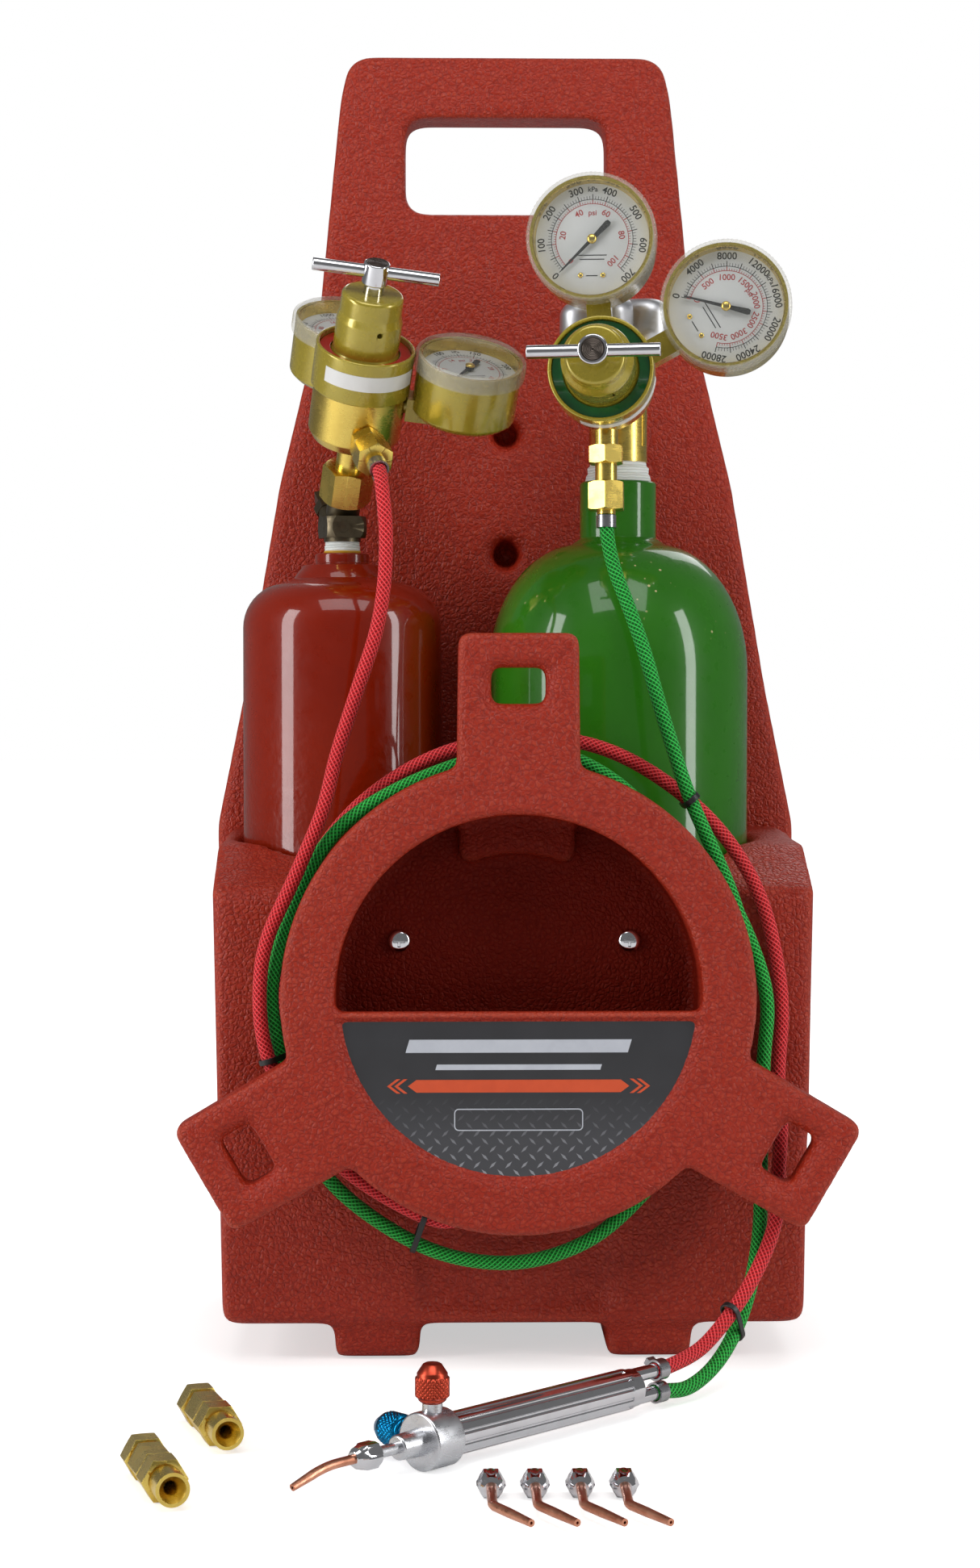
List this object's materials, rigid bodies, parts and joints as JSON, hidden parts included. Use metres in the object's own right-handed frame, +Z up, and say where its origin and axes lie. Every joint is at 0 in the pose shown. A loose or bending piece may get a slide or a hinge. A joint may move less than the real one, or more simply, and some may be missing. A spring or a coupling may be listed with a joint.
{
  "type": "portable oxy-acetylene torch outfit",
  "caption": "Moulded red tote with a hand hole, two pockets for gas cylinders, regulators with gauges, a front hose rack, twin hose and a small torch with loose tips.",
  "frame": {"origin": "on the floor, midway between the two runner feet, under the plane of the cylinder axes", "axes": "+Z up, +X to the right seen from the front, the front faces -Y"},
  "size_m": [0.3345, 0.4835, 0.6705],
  "materials": {
    "red_plastic": "moulded leather grain",
    "acetylene_paint": "gloss",
    "oxygen_paint": "gloss",
    "brass": "machined",
    "bronze": "dull, dark",
    "olive_lacquer": "gloss lacquer",
    "chrome": "polished",
    "steel": "satin",
    "satin_aluminium": "satin",
    "cast_wheel": "tumbled casting",
    "copper": "drawn copper",
    "thread_tape": "wrapped tape",
    "diaphragm_rubber": "matt",
    "red_ring": "gloss",
    "green_ring": "gloss",
    "dial_white": "satin",
    "clear_lens": "clear moulded plastic",
    "needle_black": "satin",
    "red_braid": "woven braid over rubber",
    "green_braid": "woven braid over rubber",
    "black_nylon": "satin",
    "label_print": "printed film",
    "red_anodised": "anodised, knurled",
    "blue_anodised": "anodised, knurled"
  },
  "bodies": {
    "tote": {"back_frame": "red_plastic", "tank_box": "red_plastic", "hose_rack": "red_plastic", "rack_screws": "steel", "frame_bolts": "steel", "label_plate": "label_print", "red_hose": "red_braid", "green_hose": "green_braid", "zip_ties": "black_nylon", "torch_handle": "chrome", "torch_head": "satin_aluminium", "torch_tip": "copper", "torch_hose_clamps": "steel"},
    "acetylene_set": {"acetylene_tank": "acetylene_paint", "acetylene_thread_seal": "thread_tape", "acetylene_valve_body": "bronze", "acetylene_packing_nut": "bronze", "acet_union_nut": "brass", "acet_regulator_body": "brass", "acet_diaphragm": "diaphragm_rubber", "acet_bonnet": "olive_lacquer", "acet_colour_ring": "red_ring", "acet_range_spring": "steel", "acet_outlet_fitting": "brass", "acet_hose_clamp": "steel", "acet_low_gauge_case": "olive_lacquer", "acet_high_gauge_case": "olive_lacquer", "acet_gauge_dials": "dial_white", "acet_gauge_lenses": "clear_lens"},
    "oxygen_set": {"oxygen_tank": "oxygen_paint", "oxygen_thread_seal": "thread_tape", "oxygen_valve_body": "brass", "oxy_union_nut": "brass", "oxy_regulator_body": "brass", "oxy_diaphragm": "diaphragm_rubber", "oxy_bonnet": "olive_lacquer", "oxy_colour_ring": "green_ring", "oxy_range_spring": "steel", "oxy_outlet_fitting": "brass", "oxy_hose_clamp": "steel", "oxy_low_gauge_case": "olive_lacquer", "oxy_high_gauge_case": "olive_lacquer", "oxy_gauge_dials": "dial_white", "oxy_gauge_lenses": "clear_lens"},
    "acetylene_spindle": {"acetylene_valve_stem": "bronze"},
    "oxygen_wheel": {"oxygen_handwheel": "cast_wheel"},
    "acet_button": {"acet_spring_button": "steel"},
    "acet_screw": {"acet_adjusting_screw": "chrome", "acet_tee_bar": "chrome"},
    "oxy_button": {"oxy_spring_button": "steel"},
    "oxy_screw": {"oxy_adjusting_screw": "chrome", "oxy_tee_bar": "chrome"},
    "acet_low_pointer": {"acet_low_needle": "needle_black"},
    "acet_high_pointer": {"acet_high_needle": "needle_black"},
    "oxy_low_pointer": {"oxy_low_needle": "needle_black"},
    "oxy_high_pointer": {"oxy_high_needle": "needle_black"},
    "torch_fuel_valve": {"fuel_knob": "red_anodised"},
    "torch_oxygen_valve": {"oxygen_knob": "blue_anodised"},
    "loose_tips": {"spare_tips": "copper"},
    "loose_check_valves": {"check_valves": "brass"}
  },
  "joints": [
    {"name": "lift_acetylene_cylinder", "type": "slide", "parent": "tote", "child": "acetylene_set", "axis": [0, 0, 1], "range_m": [0, 0.235], "deforming": ["red_hose"]},
    {"name": "lift_oxygen_cylinder", "type": "slide", "parent": "tote", "child": "oxygen_set", "axis": [0, 0, 1], "range_m": [0, 0.08], "deforming": ["green_hose"]},
    {"name": "open_acetylene_valve", "type": "hinge", "parent": "acetylene_set", "child": "acetylene_spindle", "pos_m": [-0.09571, 0.01933, 0.42648], "axis": [-0.2809, 0.7223, 0.632], "range_deg": [0, 270]},
    {"name": "open_oxygen_valve", "type": "hinge", "parent": "oxygen_set", "child": "oxygen_wheel", "pos_m": [0.056, 0, 0.505], "axis": [0, 0, 1], "range_deg": [0, 720]},
    {"name": "acet_button_travel", "type": "slide", "parent": "acetylene_set", "child": "acet_button", "axis": [-0.1401, 0.5003, -0.8545], "range_m": [0, 0.0038]},
    {"name": "turn_acet_adjusting_screw", "type": "hinge", "parent": "acet_button", "child": "acet_screw", "pos_m": [-0.06875, -0.05803, 0.52607], "axis": [-0.1401, 0.5003, -0.8545], "range_deg": [0, 1080]},
    {"name": "oxy_button_travel", "type": "slide", "parent": "oxygen_set", "child": "oxy_button", "axis": [0.1305, 0.989, -0.0703], "range_m": [0, 0.0038]},
    {"name": "turn_oxy_adjusting_screw", "type": "hinge", "parent": "oxy_button", "child": "oxy_screw", "pos_m": [0.03651, -0.13252, 0.48742], "axis": [0.1305, 0.989, -0.0703], "range_deg": [0, 1080]},
    {"name": "swing_acet_low_needle", "type": "hinge", "parent": "acetylene_set", "child": "acet_low_pointer", "pos_m": [-0.01992, -0.04127, 0.49745], "axis": [-0.1401, 0.5003, -0.8545], "range_deg": [0, 270]},
    {"name": "swing_acet_high_needle", "type": "hinge", "parent": "acetylene_set", "child": "acet_high_pointer", "pos_m": [-0.08353, 0.00705, 0.52212], "axis": [-0.1401, 0.5003, -0.8545], "range_deg": [0, 270]},
    {"name": "swing_oxy_low_needle", "type": "hinge", "parent": "oxygen_set", "child": "oxy_low_pointer", "pos_m": [0.03743, -0.08062, 0.55069], "axis": [0.1305, 0.989, -0.0703], "range_deg": [0, 270]},
    {"name": "swing_oxy_high_needle", "type": "hinge", "parent": "oxygen_set", "child": "oxy_high_pointer", "pos_m": [0.10206, -0.09156, 0.51672], "axis": [0.1305, 0.989, -0.0703], "range_deg": [0, 270]},
    {"name": "turn_torch_fuel_knob", "type": "hinge", "parent": "tote", "child": "torch_fuel_valve", "pos_m": [-0.04, -0.277, 0.0125], "axis": [0, 0, 1], "range_deg": [0, 540]},
    {"name": "turn_torch_oxygen_knob", "type": "hinge", "parent": "tote", "child": "torch_oxygen_valve", "pos_m": [-0.04, -0.277, 0.0125], "axis": [-0.6996, 0.7146, 0], "range_deg": [0, 540]},
    {"name": "lift_spare_tips", "type": "slide", "parent": "tote", "child": "loose_tips", "axis": [0, 0, 1], "range_m": [0, 0.15]},
    {"name": "lift_check_valves", "type": "slide", "parent": "tote", "child": "loose_check_valves", "axis": [0, 0, 1], "range_m": [0, 0.15]}
  ],
  "couplings": [
    {"joint": "acet_button_travel", "follows": "turn_acet_adjusting_screw", "m_per_rad": 0.00019894},
    {"joint": "oxy_button_travel", "follows": "turn_oxy_adjusting_screw", "m_per_rad": 0.00019894}
  ]
}
